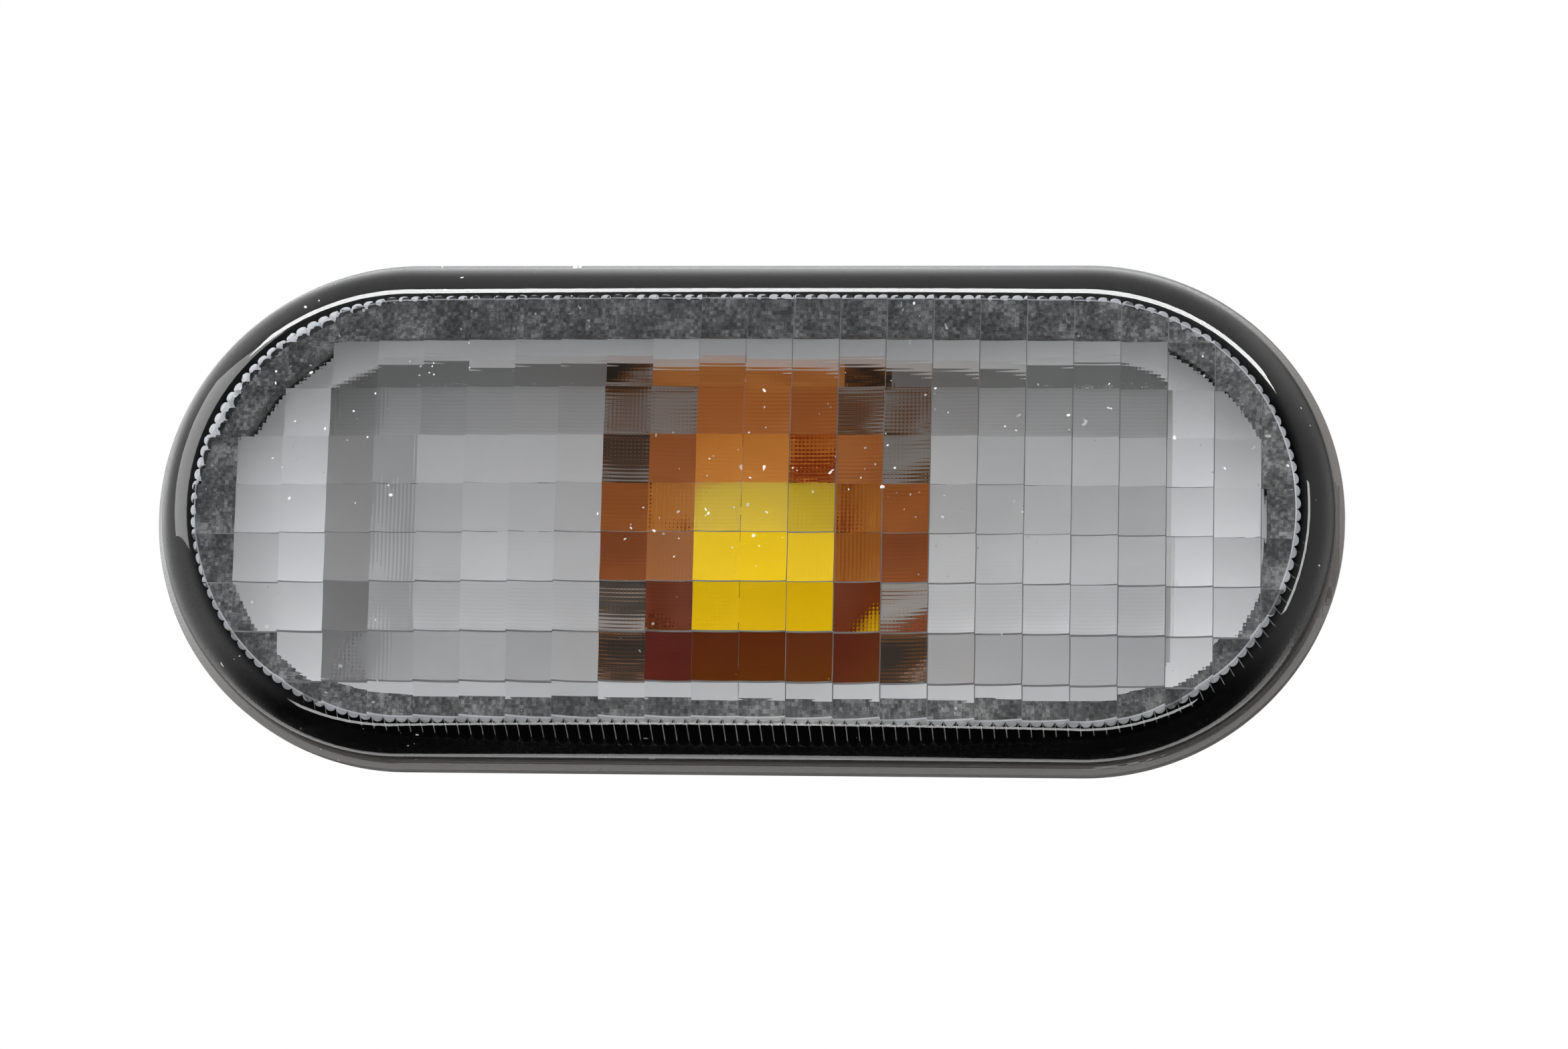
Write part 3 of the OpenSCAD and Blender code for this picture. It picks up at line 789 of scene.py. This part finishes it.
def prismField(shape):
    cuts, edge = shape["cellCuts"], shape["cellEdge"]
    columns = cellPlaces(shape["lineX"], shape["cellWidth"], shape["length"] / 2, cuts, edge)
    rows = cellPlaces(shape["lineZ"], shape["cellHeight"], shape["height"] / 2, cuts, edge)
    lastColumn, lastRow = len(columns) - 1, len(rows) - 1
    field = startPiece("prismField")
    bpy.ops.mesh.primitive_grid_add(x_subdivisions=lastColumn, y_subdivisions=lastRow,
                                    size=2.0, rotation=(math.pi / 2, 0, 0))
    moveSelected(lambda i, co: facetPoint(columns[round((co.x + 1) / 2 * lastColumn)],
                                          rows[round((co.z + 1) / 2 * lastRow)], shape))
    bpy.ops.mesh.extrude_region_move()
    moveSelected(lambda i, co: Vector((co.x, shape["fieldRear"], co.z)))
    closePiece()
    return field


def makeLens(shape):
    lens = lensSkin(shape)
    hollow = flutedColumn(shape)
    rebate = rimColumn("flangeRebate", *shape["rimPoints"], shape["flangeInset"],
                       shape["flangeFront"], shape)
    cut(hollow, prismField(shape), "INTERSECT")
    cut(lens, rebate, "DIFFERENCE")
    cut(lens, hollow, "DIFFERENCE")
    lens.name = "lens_moulding"
    lens.data.name = "lens_moulding"
    smoothBy(lens, shape["crispEdge"])
    finishPiece(lens, "lamp", "clear_lens", "lens")
    return lens


lens = makeLens(lensShape)
print("lens made,", len(lens.data.polygons), "faces")


# the studio: pale floor, white surround and large soft lights

studio = {
    "floorLevel": -0.35,
    "floorWidth": 1.8,
    "floorFront": 0.35,       # the floor starts behind the lamp, so that the lens mirrors a dim room
    "floorBack": 1.5,
    "floorFinish": {
        "grain": (3.0, 2.0),
        "tones": [(0.3, (0.8, 0.8, 0.8)), (0.8, (0.84, 0.84, 0.84))],
        "rough": 0.8,
    },
    "tent": {
        "dim": 0.03,
        # for each side: where its light starts to grow, where it stops, and what it comes to
        "right": (0.3, 0.9, 0.7),
        "left": (0.35, 0.85, 1.2),
        "top": (0.4, 0.9, 0.8),
        "behind": (0.1, 0.8, 0.9),
        "besideFrom": (-0.75, -0.3),        # heights from which the sides and the rest are lit
        "behindFrom": (-0.05, 0.35),
        "behindLeft": (-0.5, 0.1),
        "restFrom": (-0.35, -0.05),
    },
    "lights": [
        # name, place, width, height, watts
        ("softbox", (0.0, -0.63, 0.78), 1.3, 0.2, 16.5),
        ("leftPanel", (-0.85, -0.52, 0.4), 0.85, 0.75, 9.5),
        ("lowStrip", (-0.1, -0.75, -0.75), 1.2, 0.12, 3.8),
        ("rightPanel", (0.78, -0.62, 0.0), 0.12, 0.6, 2.2),
    ],
}


def addFloor(place):
    front, back = place["floorFront"], place["floorBack"]
    floor = startPiece("studioFloor")
    bpy.ops.mesh.primitive_plane_add(size=1.0, location=(0, 0, 0))
    bpy.ops.transform.resize(value=(place["floorWidth"], back - front, 1))
    bpy.ops.transform.translate(value=(0, (back + front) / 2, place["floorLevel"]))
    bpy.ops.object.mode_set(mode="OBJECT")
    floor.data.materials.append(plainFinish("paleFloor", place["floorFinish"]))


def addLight(name, place, width, height, watts):
    data = bpy.data.lights.new(name, "AREA")
    data.shape = "RECTANGLE"
    data.size = width
    data.size_y = height
    data.energy = watts
    light = bpy.data.objects.new(name, data)
    bpy.context.scene.collection.objects.link(light)
    light.location = place
    light.rotation_euler = (-Vector(place)).to_track_quat("-Z", "Y").to_euler()


def addTent(tent):
    # white behind the lamp, and a soft tent that is bright above, beside and behind it and dim in front
    world = bpy.data.worlds.new("softTent")
    bpy.context.scene.world = world
    f = Finish(world)
    x, y, z = f.axes(f.node("TexCoord", out="Generated"))
    left = 0.0 - x

    def rising(value, start, end, most=1.0):
        return f.ranged(value, start, end, most, "SMOOTHSTEP")

    beside = rising(x, *tent["right"]) + rising(left, *tent["left"])
    behind = rising(y, *tent["behind"]) * rising(z, *tent["behindFrom"]) * rising(left, *tent["behindLeft"])
    rest = (rising(z, *tent["top"]) + behind) * rising(z, *tent["restFrom"])
    level = beside * rising(z, *tent["besideFrom"]) + rest + tent["dim"]
    grey = f.node("CombineXYZ", None, {0: level, 1: level, 2: level})
    lit = f.node("Background", None, {"Color": grey})
    shown = f.node("Background", None, {"Color": (1, 1, 1, 1)})
    f.close(f.blended(f.node("LightPath", out="Is Camera Ray"), lit, shown), "World")


addFloor(studio)
for light in studio["lights"]:
    addLight(*light)
addTent(studio["tent"])
bpy.context.scene.view_settings.view_transform = "Standard"
print("studio set")
